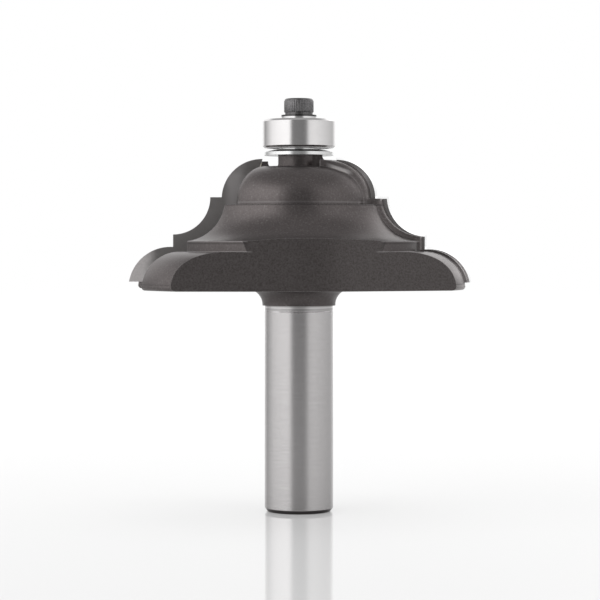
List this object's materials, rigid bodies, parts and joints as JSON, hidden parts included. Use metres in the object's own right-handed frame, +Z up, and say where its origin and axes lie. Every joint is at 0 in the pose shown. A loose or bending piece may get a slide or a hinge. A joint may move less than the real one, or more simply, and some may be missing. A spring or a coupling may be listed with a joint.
{
  "type": "router bit",
  "caption": "Ogee profile router bit with two brazed carbide teeth, a chip-limiting steel body and a ball-bearing guide held by a socket screw on its top end.",
  "frame": {"origin": "centre of the flat foot of the shank, on which the bit stands", "axes": "+Z up the tool's axis from the shank to the retaining screw; the two teeth lie along X, tooth 1 at -X and tooth 2 at +X"},
  "size_m": [0.06, 0.0422, 0.0723],
  "materials": {
    "coated_body": "dark warm-grey non-stick coating; the shank is bright ground steel",
    "carbide": "fine-ground tungsten carbide",
    "polished_steel": "polished",
    "bearing_steel": "ground bearing steel",
    "shield_steel": "pressed steel",
    "cage_steel": "pressed steel",
    "ball_steel": "polished",
    "dark_fastener": "black oxide"
  },
  "bodies": {
    "cutter": {"cutter_body": "coated_body", "carbide_tip_1": "carbide", "carbide_tip_2": "carbide", "spacer_disc": "polished_steel", "bearing_inner_ring": "bearing_steel", "clamp_washer": "dark_fastener", "retaining_screw": "dark_fastener"},
    "guide_ring": {"bearing_outer_ring": "bearing_steel", "bearing_shield_top": "shield_steel", "bearing_shield_bottom": "shield_steel"},
    "ball_set": {"cage_half_top": "cage_steel", "cage_half_bottom": "cage_steel", "ball_1": "ball_steel", "ball_2": "ball_steel", "ball_3": "ball_steel", "ball_4": "ball_steel", "ball_5": "ball_steel", "ball_6": "ball_steel", "ball_7": "ball_steel"}
  },
  "joints": [
    {"name": "guide_ring_spin", "type": "hinge", "parent": "cutter", "child": "guide_ring", "pos_m": [0, 0, 0.066], "axis": [0, 0, 1], "continuous": true},
    {"name": "ball_set_spin", "type": "hinge", "parent": "cutter", "child": "ball_set", "pos_m": [0, 0, 0.066], "axis": [0, 0, 1], "continuous": true}
  ],
  "couplings": [
    {"joint": "ball_set_spin", "follows": "guide_ring_spin", "ratio": 0.6364}
  ]
}
